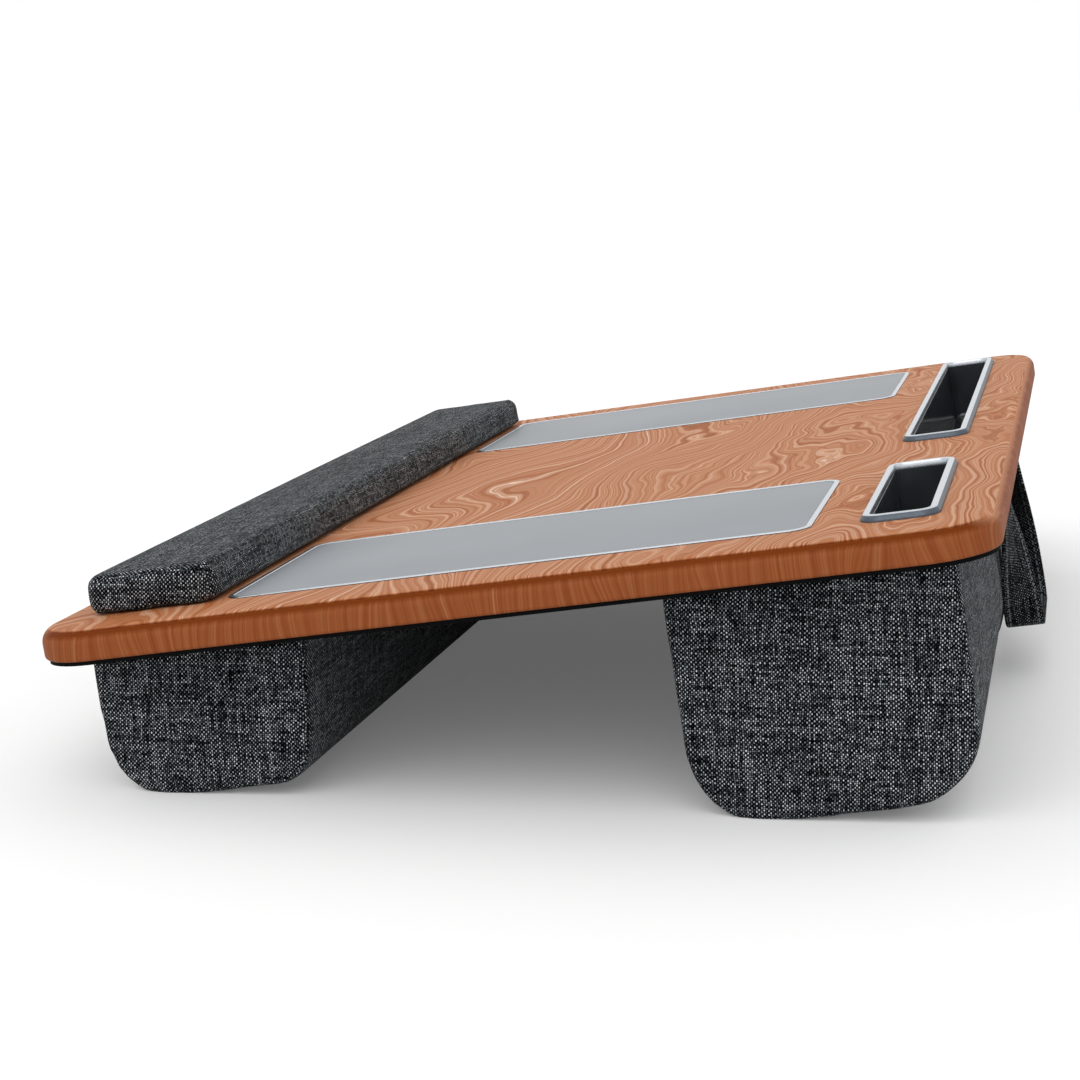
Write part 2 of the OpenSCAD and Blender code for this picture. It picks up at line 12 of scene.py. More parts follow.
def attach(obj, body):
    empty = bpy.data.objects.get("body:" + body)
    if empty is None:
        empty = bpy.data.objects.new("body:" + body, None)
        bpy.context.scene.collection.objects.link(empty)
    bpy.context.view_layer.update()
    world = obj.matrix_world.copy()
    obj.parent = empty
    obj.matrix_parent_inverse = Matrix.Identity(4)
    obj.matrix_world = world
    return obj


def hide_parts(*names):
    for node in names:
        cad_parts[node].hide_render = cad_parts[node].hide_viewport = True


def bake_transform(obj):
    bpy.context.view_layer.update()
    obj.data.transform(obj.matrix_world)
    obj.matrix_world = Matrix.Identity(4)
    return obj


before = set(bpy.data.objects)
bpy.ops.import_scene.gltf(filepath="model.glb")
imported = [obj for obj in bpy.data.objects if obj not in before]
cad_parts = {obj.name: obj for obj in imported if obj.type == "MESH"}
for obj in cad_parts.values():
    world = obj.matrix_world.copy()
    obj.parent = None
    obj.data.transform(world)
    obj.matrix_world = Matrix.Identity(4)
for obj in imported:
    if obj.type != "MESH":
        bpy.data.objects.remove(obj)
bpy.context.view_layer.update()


# ---------- The board ----------
# One slab of veneered board, 12 mm thick, routed for the slots and the mouse pads and lacquered.
# It lies on two bolsters of unequal height, so it slopes; every piece is drawn in the slope's own
# axes, in mm: x to the right, y from the front edge to the rear, z up from the top face.

def points_of(mesh):
    """The mesh's vertices as rows of x, y, z."""
    flat = np.empty(len(mesh.vertices) * 3, np.float32)
    mesh.vertices.foreach_get("co", flat)
    return flat.reshape(-1, 3).astype(float)


def slope_of(node):
    """Angle between the largest flat face of a CAD node and the floor, about the x axis."""
    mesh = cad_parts[node].data
    normal = np.empty(len(mesh.polygons) * 3, np.float32)
    area = np.empty(len(mesh.polygons), np.float32)
    mesh.polygons.foreach_get("normal", normal)
    mesh.polygons.foreach_get("area", area)
    n = normal.reshape(-1, 3)[area.argmax()]
    return math.atan(-n[1] / n[2])


MM = 0.001
slope = slope_of("backing_sheet")
tilt = np.array([
    [1, 0, 0],
    [0, math.cos(slope), -math.sin(slope)],
    [0, math.sin(slope), math.cos(slope)],
])
board_points = points_of(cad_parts["top_board"].data) @ tilt
corner = np.array([0, board_points[:, 1].min(), board_points[:, 2].max()])


def to_board(points):
    """Metres in the CAD's frame to millimetres along the slope: turned back, then moved."""
    return (points @ tilt - corner) / MM


def to_frame(points):
    """Millimetres along the slope to metres in the CAD's frame: moved, then turned."""
    return (np.asarray(points, float) * MM + corner) @ tilt.T


def extent(node):
    """Lowest and highest corner of a CAD node along the slope, in mm."""
    along = to_board(points_of(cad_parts[node].data))
    return along.min(0), along.max(0)


def middle_and_size(node):
    """Middle and size of a CAD node seen square to the board, in mm."""
    low, high = extent(node)
    return (low + high)[:2] / 2, (high - low)[:2]


def rings(middle, size, radius, profile, steps=10):
    """Carries a profile round a rectangle with round corners. Each row of the profile is how far
    the ring stays in from the outline, and its height. At the angle a of a corner the ring lies
    at the corner's centre plus (radius - inset) * (cos a, sin a)."""
    inset, height = np.asarray(profile, float).T[:, :, None]
    quarter = np.linspace(0, math.pi / 2, steps + 1)
    angle = np.concatenate([quarter + k * math.pi / 2 for k in range(4)])
    side_x = np.repeat([1, -1, -1, 1], steps + 1)
    side_y = np.repeat([1, 1, -1, -1], steps + 1)
    x = middle[0] + side_x * (size[0] / 2 - radius) + (radius - inset) * np.cos(angle)
    y = middle[1] + side_y * (size[1] / 2 - radius) + (radius - inset) * np.sin(angle)
    return np.stack([x, y, height + 0 * x], axis=2)


def round_edge(inset, height, radius, start, end, steps=6):
    """Profile points on an arc about (inset, height), from start to end in degrees. Degrees run
    from 0, outwards, to 90, upwards, and the inset grows inwards: inset - r cos, height + r sin."""
    a = np.radians(np.linspace(start, end, steps + 1))
    return list(zip(inset - radius * np.cos(a), height + radius * np.sin(a)))


def skin(grid):
    """Quads between the rows of a grid whose rows are closed rings."""
    rows, around = grid.shape[:2]
    index = np.arange(rows * around).reshape(rows, around)
    near, far = index[:-1], index[1:]
    quads = np.stack([near, far, np.roll(far, -1, 1), np.roll(near, -1, 1)], axis=2)
    return grid.reshape(-1, 3), quads.reshape(-1, 4).tolist()


def flat_face(*outlines):
    """Triangles that fill the first outline and leave the others open."""
    loops = [[Vector(p) for p in outline] for outline in outlines]
    return np.concatenate(outlines), [list(t) for t in tessellate_polygon(loops)]


def close_up(piece):
    """Merges the points that sheets share and turns every face outwards."""
    work = bmesh.new()
    work.from_mesh(piece.data)
    bmesh.ops.remove_doubles(work, verts=work.verts, dist=1e-6)
    bmesh.ops.dissolve_degenerate(work, edges=work.edges, dist=1e-7)
    bmesh.ops.recalc_face_normals(work, faces=work.faces)
    work.to_mesh(piece.data)
    work.free()


def make(name, sheets, crease=35, finish=None):
    """Joins sheets of points and faces into one mesh in the CAD's frame, with smooth faces
    and sharp edges past the crease angle. finish gives the number of each sheet's material."""
    points, faces, kinds, count = [], [], [], 0
    for k, (sheet_points, sheet_faces) in enumerate(sheets):
        points.append(sheet_points)
        faces += [[i + count for i in face] for face in sheet_faces]
        kinds += [finish[k] if finish else 0] * len(sheet_faces)
        count += len(sheet_points)
    mesh = bpy.data.meshes.new(name)
    mesh.from_pydata(to_frame(np.concatenate(points)).tolist(), [], faces)
    mesh.polygons.foreach_set("material_index", kinds)
    piece = bpy.data.objects.new(name, mesh)
    bpy.context.scene.collection.objects.link(piece)
    close_up(piece)
    mesh.shade_smooth()
    mesh.set_sharp_from_angle(angle=math.radians(crease))
    return piece


def linear(hex_colour):
    """An sRGB hex colour as linear light, with an alpha of 1."""
    srgb = [int(hex_colour[i:i + 2], 16) / 255 for i in (1, 3, 5)]
    return [c / 12.92 if c <= 0.04045 else ((c + 0.055) / 1.055) ** 2.4 for c in srgb] + [1]


def add(tree, kind, sockets, out=0, stops=(), **settings):
    """Adds a shader node, sets its properties, fills its sockets with values or links and its
    colour ramp with (place, hex colour) stops, and returns the output asked for."""
    node = tree.nodes.new("ShaderNode" + kind)
    for name, value in settings.items():
        setattr(node, name, value)
    for socket, value in sockets.items():
        if isinstance(value, bpy.types.NodeSocket):
            tree.links.new(value, node.inputs[socket])
        else:
            node.inputs[socket].default_value = value
    for k, (place, hex_colour) in enumerate(stops):
        ramp = node.color_ramp.elements
        stop = ramp[k] if k < len(ramp) else ramp.new(place)
        stop.position, stop.color = place, linear(hex_colour)
    return node.outputs[out]


def new_material(name, roughness, **sockets):
    """A material whose shader has its constant values set; returns material, tree and shader."""
    material = bpy.data.materials.new(name)
    material.use_nodes = True
    surface = material.node_tree.nodes["Principled BSDF"]
    surface.inputs["Roughness"].default_value = roughness
    for socket, value in sockets.items():
        surface.inputs[socket.replace("_", " ")].default_value = value
    return material, material.node_tree, surface


def along_slope(tree, size_mm):
    """Place on the slope, counted in steps of the given sizes in mm along x, y and z."""
    place = add(tree, "TexCoord", {}, "Object")
    turned = add(tree, "Mapping", {0: place, 1: -corner, 2: (-slope, 0, 0)})
    return add(tree, "VectorMath", {0: turned, 1: [1 / (step * MM) for step in size_mm]},
               operation="MULTIPLY")


board_low, board_high = extent("top_board")
board_mid, board_size = middle_and_size("top_board")
board_t = board_high[2] - board_low[2]
board_corner_r = 26
board_top_r = 6
board_bottom_r = 1.5
slot_corner_r = 4
bezel_w = 3.5
ledge_w = 1.8
ledge_depth = 1.2
pad_corner_r = 8
pad_recess = 1
inlay_fit = 0.1

board_profile = (
    round_edge(board_top_r, -board_top_r, board_top_r, 90, 0, 12)
    + round_edge(board_bottom_r, board_bottom_r - board_t, board_bottom_r, 0, -90, 4)
)
board_rim = rings(board_mid, board_size, board_corner_r, board_profile, 20)
board_sheets = [skin(board_rim)]
top_holes = []
foot_holes = []
for slot in ("phone_slot", "tablet_slot"):
    mid, size = middle_and_size(slot + "_bezel")
    hole = rings(mid, size, slot_corner_r + bezel_w,
                 [(0, 0), (0, -ledge_depth), (ledge_w, -ledge_depth), (ledge_w, -board_t)])
    board_sheets.append(skin(hole))
    top_holes.append(hole[0])
    foot_holes.append(hole[-1])
for side in ("right", "left"):
    mid, size = middle_and_size(side + "_pad_trim")
    recess = rings(mid, size + 2 * inlay_fit, pad_corner_r + inlay_fit,
                   [(0, 0), (0, -pad_recess)])
    board_sheets += [skin(recess), flat_face(recess[-1])]
    top_holes.append(recess[0])
board_sheets += [flat_face(board_rim[0], *top_holes), flat_face(board_rim[-1], *foot_holes)]
board = make("veneered_board", board_sheets, 30)
weighted = board.modifiers.new("flat_faces_stay_flat", "WEIGHTED_NORMAL")
weighted.keep_sharp = True


def lacquered_walnut():
    """Crotch walnut veneer, dyed reddish and sprayed with satin lacquer: flowing light lines
    on a warm brown, a soft sheen, and an edge darker than the top, partly from a deeper dye and
    partly painted shade; on the sides a band of painted shade lies under the rounding. A line
    runs where the level y + lean x + swirls is constant, a swirl is a noise times its reach, and
    a one-dimensional noise of the level gives each line its strength. The figure is calm at the
    front, swirls at the rear, and runs nearly straight up on the edge."""
    material, tree, surface = new_material("lacquered_walnut", 0.6, Specular_IOR_Level=0.08)
    line_mm, fine_mm, lean, edge_sway, edge_share = 2.9, 0.8, 0.14, 0.7, 0.12
    calm_y, swirl_y = 170, 250
    top_from, top_to = -2.4, -1.2
    side_from, side_to = 22, 8
    even = 1e6  # a step so long that the pattern doesn't change along it
    swirls = [((170, 70, even), 130, 160, 0.0), ((52, 24, even), 12, 34, 1.0),
              ((11, 5, even), 0.8, 1.5, 1.0)]
    flat = along_slope(tree, (1, 1, 1))
    x, y, height = (add(tree, "SeparateXYZ", {0: flat}, axis) for axis in range(3))
    level = add(tree, "VectorMath", {0: flat, 1: (lean, 1, 0)}, "Value", operation="DOT_PRODUCT")
    on_top = add(tree, "MapRange", {0: height, 1: top_from, 2: top_to, 3: edge_share, 4: 1.0})
    for size_mm, calm, lively, detail in swirls:
        swirl = add(tree, "TexNoise", {"Vector": along_slope(tree, size_mm), "Scale": 1.0,
                                       "Detail": detail})
        reach = add(tree, "MapRange", {0: y, 1: calm_y, 2: swirl_y, 3: calm, 4: lively})
        reach = add(tree, "Math", {0: reach, 1: on_top}, operation="MULTIPLY")
        level = add(tree, "Math", {0: swirl, 1: reach, 2: level}, operation="MULTIPLY_ADD")
    bend = add(tree, "TexNoise", {"Vector": along_slope(tree, (30, 30, even)), "Scale": 1.0})
    drift = add(tree, "MapRange", {0: bend, 3: -edge_sway, 4: edge_sway})
    level = add(tree, "Math", {0: height, 1: drift, 2: level}, operation="MULTIPLY_ADD")
    lines = add(tree, "TexNoise", {"W": level, "Scale": 1 / line_mm, "Detail": 3.0,
                                   "Roughness": 0.65}, noise_dimensions="1D")
    fine = add(tree, "TexNoise", {"W": level, "Scale": 1 / fine_mm, "Detail": 1.0},
               noise_dimensions="1D")
    figure = add(tree, "ValToRGB", {0: lines}, stops=[
        (0.27, "#96572B"), (0.36, "#A5633B"), (0.44, "#AF704A"), (0.5, "#B67B57"),
        (0.57, "#BF8967"), (0.62, "#D3A689"), (0.67, "#B27855"), (0.74, "#DBB89F")])
    share = add(tree, "MapRange", {0: on_top, 1: edge_share, 2: 1.0, 3: 0.45, 4: 1.0})
    figure = add(tree, "Mix", {0: share, 6: linear("#B37957"), 7: figure}, 2, data_type="RGBA")
    streak = add(tree, "MapRange", {0: fine, 1: 0.3, 2: 0.7, 3: 0.88, 4: 1.1})
    veneer = add(tree, "Mix", {0: 1.0, 6: figure, 7: streak}, 2, data_type="RGBA",
                 blend_type="MULTIPLY")
    # From below upwards: the edge, darker partly by a deeper dye and partly by painted shade; on
    # the sides a band of painted shade under the rounding; the top.
    share = add(tree, "MapRange", {0: height, 1: -board_t, 2: 0.0})
    # The edge is darker, partly by a deeper dye and partly as painted shade.
    plain = add(tree, "ValToRGB", {0: share}, stops=[(0.7, "#C19F7F"), (0.9, "#FFFFFF")])
    # A band of painted shade under the rounding, drawn near the sides only.
    painted_lip_shade = add(tree, "ValToRGB", {0: share}, stops=[
        (0.68, "#C19F7F"), (0.83, "#9B690C"), (0.925, "#9B690C"), (0.965, "#FFFFFF")])
    lip_shade_side = add(tree, "MapRange", {0: add(tree, "Math", {0: x}, operation="ABSOLUTE"),
                                     1: board_size[0] / 2 - side_from,
                                     2: board_size[0] / 2 - side_to})
    stain_and_shade = add(tree, "Mix", {0: lip_shade_side, 6: plain, 7: painted_lip_shade}, 2, data_type="RGBA")
    stained_and_shaded = add(tree, "Mix", {0: 1.0, 6: veneer, 7: stain_and_shade}, 2, data_type="RGBA",
                  blend_type="MULTIPLY")
    tree.links.new(stained_and_shaded, surface.inputs["Base Color"])
    pores = add(tree, "Bump", {"Strength": 0.08, "Distance": 0.1 * MM, "Height": fine})
    tree.links.new(pores, surface.inputs["Normal"])
    return material


board.data.materials.append(lacquered_walnut())
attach(board, "desk")
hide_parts("top_board")


# ---------- The backing ----------
# A sheet of black moulded plastic, 1.5 mm thick, glued under the board. It is a little smaller
# than the board, so it shows as a dark line, and the bolsters' hook strips are stuck to it.

def black_board_backing():
    """Black moulded sheet with a fine sand-blast grain, 0.7 mm: dull, nearly no sheen."""
    material, tree, surface = new_material("black_moulded_sheet", 0.8, Specular_IOR_Level=0.05)
    grain = add(tree, "TexNoise", {"Vector": along_slope(tree, (0.7, 0.7, 0.7)), "Scale": 1.0,
                                   "Detail": 3.0})
    colour = add(tree, "ValToRGB", {0: grain}, stops=[(0.3, "#050506"), (0.7, "#0D0D0E")])
    tree.links.new(colour, surface.inputs["Base Color"])
    bump = add(tree, "Bump", {"Strength": 0.2, "Distance": 0.1 * MM, "Height": grain})
    tree.links.new(bump, surface.inputs["Normal"])
    return material


def dress(node, material):
    """Gives a CAD node that stays its finish."""
    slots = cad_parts[node].data.materials
    slots.clear()
    slots.append(material)


dress("backing_sheet", black_board_backing())


# ---------- The slots ----------
# Each slot is a moulded well of glossy charcoal ABS that hangs by its flange in the board, under
# a cast and polished bezel: a flat bright rim with a grey bevelled flank.

def polished_rim():
    """Anodised aluminium, polished flat: bright, with a faint brushed blur along x."""
    material, tree, surface = new_material("polished_aluminium", 0.28, Metallic=1.0)
    brushed = add(tree, "TexNoise", {"Vector": along_slope(tree, (12, 1.2, 1.2)), "Scale": 1.0,
                                     "Detail": 2.0})
    colour = add(tree, "ValToRGB", {0: brushed}, stops=[(0.3, "#C6CCD2"), (0.7, "#CDD2D7")])
    tree.links.new(colour, surface.inputs["Base Color"])
    blur = add(tree, "MapRange", {0: brushed, 3: 0.25, 4: 0.31})
    tree.links.new(blur, surface.inputs["Roughness"])
    return material


def grey_flank():
    """The same casting on its flank: blasted dull, and painted darker grey as painted shade,
    since the sloped flank reflects less of the bright room than the flat rim.
    """
    material, tree, surface = new_material("flank_metal_painted_shade", 0.42, Metallic=0.6)
    blast = add(tree, "TexNoise", {"Vector": along_slope(tree, (1, 1, 1)), "Scale": 1.0,
                                   "Detail": 2.0})
    colour = add(tree, "ValToRGB", {0: blast}, stops=[(0.3, "#4C535B"), (0.7, "#545C65")])
    tree.links.new(colour, surface.inputs["Base Color"])
    return material


def glossy_charcoal():
    """Charcoal ABS from a polished mould: deep, with clear reflections; it flows in 25 mm waves."""
    material, tree, surface = new_material("glossy_abs", 0.14, IOR=1.53)
    flow = add(tree, "TexNoise", {"Vector": along_slope(tree, (25, 25, 25)), "Scale": 1.0,
                                  "Detail": 2.0})
    colour = add(tree, "ValToRGB", {0: flow}, stops=[(0.3, "#26292C"), (0.7, "#33363A")])
    tree.links.new(colour, surface.inputs["Base Color"])
    blur = add(tree, "MapRange", {0: flow, 3: 0.1, 4: 0.18})
    tree.links.new(blur, surface.inputs["Roughness"])
    return material


rim_metal, flank_metal, well_plastic = polished_rim(), grey_flank(), glossy_charcoal()
bezel_h = extent("phone_slot_bezel")[1][2]
bevel_run = 1.2
bevel_z = bezel_h / 3
edge_r = 0.25
flank_profile = [(0, 0), (0, bevel_z - edge_r), (edge_r / 2, bevel_z + edge_r / 2),
                 (bevel_run - edge_r / 2, bezel_h - edge_r)]
top_profile = [flank_profile[-1], (bevel_run + edge_r, bezel_h), (bezel_w - edge_r, bezel_h),
               (bezel_w - edge_r / 3, bezel_h - edge_r / 3), (bezel_w, bezel_h - edge_r),
               (bezel_w, 0), (0, 0)]
wall_t = 1.6
draft = 0.4
floor_r = 2
lip_r = 0.3
mouth = ledge_w + wall_t
for slot in ("phone_slot", "tablet_slot"):
    mid, size = middle_and_size(slot + "_bezel")
    outer_r = slot_corner_r + bezel_w
    bezel = make(slot + "_rim", [skin(rings(mid, size, outer_r, flank_profile)),
                                 skin(rings(mid, size, outer_r, top_profile))], 40, (1, 0))
    bezel.data.materials.append(rim_metal)
    # The flank takes the darker metal, which is painted shade.
    bezel.data.materials.append(flank_metal)
    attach(bezel, "desk")
    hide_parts(slot + "_bezel")

    mid, size = middle_and_size(slot + "_well")
    foot_z = extent(slot + "_well")[0][2]
    shell = [(ledge_w + wall_t, foot_z), (ledge_w, foot_z + wall_t), (ledge_w, -ledge_depth),
             (0, -ledge_depth), (0, 0), (mouth - lip_r, 0), (mouth, -lip_r)]
    shell += round_edge(mouth + draft + floor_r, foot_z + wall_t + floor_r, floor_r, 0, -90)
    cup = rings(mid, size, slot_corner_r + mouth, shell)
    well = make(slot + "_tray", [skin(cup), flat_face(cup[0]), flat_face(cup[-1])], 40)
    well.data.materials.append(well_plastic)
    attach(well, "desk")
    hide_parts(slot + "_well")


# ---------- The mouse pads ----------
# A sheet of satin grey vinyl lies in each recess, framed by a thin strip of polished aluminium
# that is bevelled on both sides and glued in with it.

def satin_vinyl():
    """Calendered PVC: grey, satin, no clear reflections, faintly cloudy over 80 mm. Its grain of
    0.2 mm is too fine to show, so it is drawn 0.5 mm wide."""
    material, tree, surface = new_material("satin_vinyl", 0.5)
    grain = add(tree, "TexNoise", {"Vector": along_slope(tree, (0.5, 0.5, 0.5)), "Scale": 1.0,
                                   "Detail": 2.0})
    cloudy = add(tree, "TexNoise", {"Vector": along_slope(tree, (80, 80, 80)), "Scale": 1.0})
    both = add(tree, "Math", {0: grain, 1: cloudy}, operation="ADD")
    colour = add(tree, "ValToRGB", {0: add(tree, "MapRange", {0: both, 1: 0.6, 2: 1.4})},
                 stops=[(0.0, "#868A8F"), (1.0, "#93979C")])
    tree.links.new(colour, surface.inputs["Base Color"])
    bump = add(tree, "Bump", {"Strength": 0.1, "Distance": 0.1 * MM, "Height": grain})
    tree.links.new(bump, surface.inputs["Normal"])
    return material


vinyl = satin_vinyl()
trim_w = 2.2
pad_edge_r = 0.2
for side in ("right", "left"):
    mid, size = middle_and_size(side + "_pad_trim")
    proud = extent(side + "_pad_trim")[1][2]
    sides = [(trim_w, proud / 2), (trim_w, -pad_recess), (0, -pad_recess), (0, proud / 2)]
    face = [(0, proud / 2), (proud / 2, proud), (trim_w - proud / 2, proud), (trim_w, proud / 2)]
    strips = [skin(rings(mid, size, pad_corner_r, part)) for part in (sides, face)]
    trim = make(side + "_pad_strip", strips, 25, (1, 0))
    trim.data.materials.append(rim_metal)
    # The trim's sides take the darker metal, which is painted shade.
    trim.data.materials.append(flank_metal)
    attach(trim, "desk")
    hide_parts(side + "_pad_trim")

    mid, size = middle_and_size(side + "_mouse_pad")
    face_z = extent(side + "_mouse_pad")[1][2]
    edge = [(0, -pad_recess)] + round_edge(pad_edge_r, face_z - pad_edge_r, pad_edge_r, 0, 90, 4)
    sheet = rings(mid, size, pad_corner_r - trim_w - inlay_fit, edge)
    pad = make(side + "_pad_sheet", [skin(sheet), flat_face(sheet[0]), flat_face(sheet[-1])], 30)
    pad.data.materials.append(vinyl)
    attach(pad, "desk")
    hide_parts(side + "_mouse_pad")


# ---------- The bolsters ----------
# Two foam cushions in a tight zipped cover of charcoal tweed, held under the board by hook and
# loop. Their lower corners are round, their walls swell a little and their ends are crowned. The
# rear one is cut out on top for the two wells, and a hidden zip closes its cover behind.

def sections(inset, depth, height, nose_r, heel_r, taper):
    """Sections of a bolster, one for each inset, from the front top corner round the nose, the
    foot and the heel to the rear top corner, in y and z below its top. The nose and the heel are
    arcs, the rear wall runs in by taper at the foot, and all of it is drawn in by the inset."""
    steps = 13
    inset = inset[:, None]
    slant = math.hypot(height, taper)
    rear, foot = depth - inset * slant / height, inset - height
    rn, rh = np.maximum(nose_r - inset, 1), np.maximum(heel_r - inset, 1)
    nose = np.radians(np.linspace(180, 270, steps))
    heel = np.radians(np.linspace(270, 360 - math.degrees(math.atan2(taper, height)), steps))
    heel_y = rear + ((foot + rh) * taper - rh * slant) / height
    y = np.hstack([inset, inset + rn + rn * np.cos(nose), heel_y + rh * np.cos(heel), rear])
    z = np.hstack([0 * inset, foot + rn + rn * np.sin(nose), foot + rh + rh * np.sin(heel),
                   0 * inset])
    return np.stack([y, z], axis=2)


def long_form(outline_at, length, end_r, crown):
    """Closed form with a section along x. Towards its end the section is drawn in round the end
    radius, x = flat + r sin a and inset = r (1 - cos a); then it shrinks to the share k of its
    size while x = length / 2 - crown k k, so that the end face is a low paraboloid."""
    flat = np.linspace(0, length / 2 - crown - end_r, 5)
    a = np.radians(np.linspace(15, 90, 6))
    k = np.array([0.8, 0.55, 0.3, 0.1])
    x = np.concatenate([flat, flat[-1] + end_r * np.sin(a), length / 2 - crown * k * k])
    inset = np.concatenate([0 * flat, end_r * (1 - np.cos(a)), np.full(len(k), end_r)])
    share = np.concatenate([np.ones(len(flat) + len(a)), k])
    x = np.concatenate([-x[:0:-1], x])
    inset, share = [np.concatenate([half[:0:-1], half]) for half in (inset, share)]
    outline = outline_at(inset)
    centre = (outline.min(1, keepdims=True) + outline.max(1, keepdims=True)) / 2
    outline = centre + share[:, None, None] * (outline - centre)
    grid = np.dstack([np.broadcast_to(x[:, None], outline.shape[:2]), outline])
    return [skin(grid), flat_face(grid[0]), flat_face(grid[-1])]


def settle(piece):
    """Puts the result of a piece's modifiers into its mesh and drops them."""
    shaped = piece.evaluated_get(bpy.context.evaluated_depsgraph_get())
    mesh = bpy.data.meshes.new_from_object(shaped)
    piece.modifiers.clear()
    piece.data = mesh


def set_points(piece, points):
    """Moves the vertices to the given places."""
    piece.data.vertices.foreach_set("co", points.astype(np.float32).ravel())
    piece.data.update()


def remesh(piece, voxel_mm):
    """Even quads of about one voxel over the whole skin, smoothed twice along its edges."""
    cover = piece.modifiers.new("even_mesh", "REMESH")
    cover.mode = "VOXEL"
    cover.voxel_size = voxel_mm * MM
    soft = piece.modifiers.new("soft_edges", "SMOOTH")
    soft.factor, soft.iterations = 0.5, 2
    settle(piece)


def stuff(piece, held, pressure, cap_mm):
    """Fills a cover: firm cloth under inner pressure, without gravity. A point that the
    simulation moves out by d along its normal moves by cap * tanh(d / cap); it never moves in,
    and held points stay."""
    frames = 20
    rest = points_of(piece.data)
    outwards = np.empty(len(rest) * 3, np.float32)
    piece.data.vertex_normals.foreach_get("vector", outwards)
    outwards = outwards.reshape(-1, 3)
    piece.vertex_groups.new(name="held").add(np.flatnonzero(held).tolist(), 1.0, "REPLACE")
    cloth = piece.modifiers.new("stuffing", "CLOTH")
    cloth.settings.quality = 5
    cloth.settings.mass = 0.3
    cloth.settings.tension_stiffness = 200
    cloth.settings.compression_stiffness = 200
    cloth.settings.shear_stiffness = 80
    cloth.settings.bending_stiffness = 20
    cloth.settings.tension_damping = 50
    cloth.settings.compression_damping = 50
    cloth.settings.shear_damping = 50
    cloth.settings.bending_damping = 10
    cloth.settings.air_damping = 10
    cloth.settings.use_pressure = True
    cloth.settings.uniform_pressure_force = pressure
    cloth.settings.vertex_group_mass = "held"
    cloth.settings.effector_weights.gravity = 0
    cloth.collision_settings.use_collision = False
    cloth.point_cache.frame_start = 1
    cloth.point_cache.frame_end = frames
    scene = bpy.context.scene
    for step in range(1, frames + 1):
        scene.frame_set(step)
    shaped = piece.evaluated_get(bpy.context.evaluated_depsgraph_get())
    move = ((points_of(shaped.data) - rest) * outwards).sum(1, keepdims=True)
    scene.frame_set(1)
    piece.modifiers.clear()
    piece.vertex_groups.clear()
    cap = cap_mm * MM
    set_points(piece, rest + outwards * cap * np.tanh(np.maximum(move, 0) / cap))


def divide(piece):
    """One round of subdivision."""
    finer = piece.modifiers.new("finer", "SUBSURF")
    finer.levels = finer.render_levels = 1
    settle(piece)


def sew(piece, seam_x, flap_w, flap_lift):
    """The flap of a hidden zip down the rear wall: cuts the skin at the flap's edge and on both
    sides of it, lifts the edge, and marks its open side with 1 in the attribute "seam"; there
    the cloth paints the shade under the flap nearly black."""
    work = bmesh.new()
    work.from_mesh(piece.data)
    for x in (seam_x - flap_w / 2, seam_x, seam_x + flap_w / 2):
        bmesh.ops.bisect_plane(work, geom=work.verts[:] + work.edges[:] + work.faces[:],
                               plane_co=to_frame((x, 0, 0)), plane_no=(1, 0, 0))
    work.to_mesh(piece.data)
    work.free()
    mesh = piece.data
    outwards = np.empty(len(mesh.vertices) * 3, np.float32)
    mesh.vertex_normals.foreach_get("vector", outwards)
    outwards = outwards.reshape(-1, 3) @ tilt
    along = to_board(points_of(mesh))
    past = along[:, 0] - seam_x
    on_wall = outwards[:, 1] > 0.6
    edge = on_wall & (np.abs(past) < 0.01)
    along[edge] += flap_lift * outwards[edge]
    set_points(piece, to_frame(along))
    # The open side is marked for painted shade: the dark crease under the flap.
    flap_shade_mask = (on_wall & (past > -0.01) & (past < flap_w / 2 + 0.01)).astype(float)
    mesh.attributes.new("zip_flap_shade", "FLOAT", "POINT").data.foreach_set("value", flap_shade_mask)


def lay_cloth(piece, outline):
    """Writes the cloth's own coordinates, in mm, to the UV map "weave": across the end faces
    they are y and z, and round the walls x and the length along the outline. A face belongs to
    an end where the x of its normal is past the end limit."""
    end_limit = 0.72
    mesh = piece.data
    along = to_board(points_of(mesh))
    start, end = outline, np.roll(outline, -1, axis=0)
    run = end - start
    size = np.linalg.norm(run, axis=1)
    before = np.concatenate([[0], np.cumsum(size)[:-1]])
    best = np.full(len(along), 1e9)
    length = np.zeros(len(along))
    for k in range(len(outline)):
        t = np.clip(((along[:, 1:] - start[k]) @ run[k]) / size[k] ** 2, 0, 1)
        off = np.linalg.norm(along[:, 1:] - start[k] - t[:, None] * run[k], axis=1)
        nearer = off < best
        best[nearer] = off[nearer]
        length[nearer] = before[k] + t[nearer] * size[k]
    loops = np.empty(len(mesh.loops), int)
    mesh.loops.foreach_get("vertex_index", loops)
    normal = np.empty(len(mesh.polygons) * 3, np.float32)
    mesh.polygons.foreach_get("normal", normal)
    total = np.empty(len(mesh.polygons), int)
    mesh.polygons.foreach_get("loop_total", total)
    at_end = np.repeat(np.abs(normal.reshape(-1, 3)[:, 0]) > end_limit, total)
    wall = np.stack([along[loops, 0], length[loops]], axis=1)
    face_of = np.repeat(np.arange(len(total)), total)
    first = length[loops[np.concatenate([[0], np.cumsum(total)[:-1]])]]
    wrap = size.sum()
    wall[:, 1] -= wrap * np.round((wall[:, 1] - first[face_of]) / wrap)
    level = points_of(mesh)[loops, 1:] / MM
    uv = np.where(at_end[:, None], level, wall)
    mesh.uv_layers.new(name="weave").data.foreach_set("uv", uv.astype(np.float32).ravel())


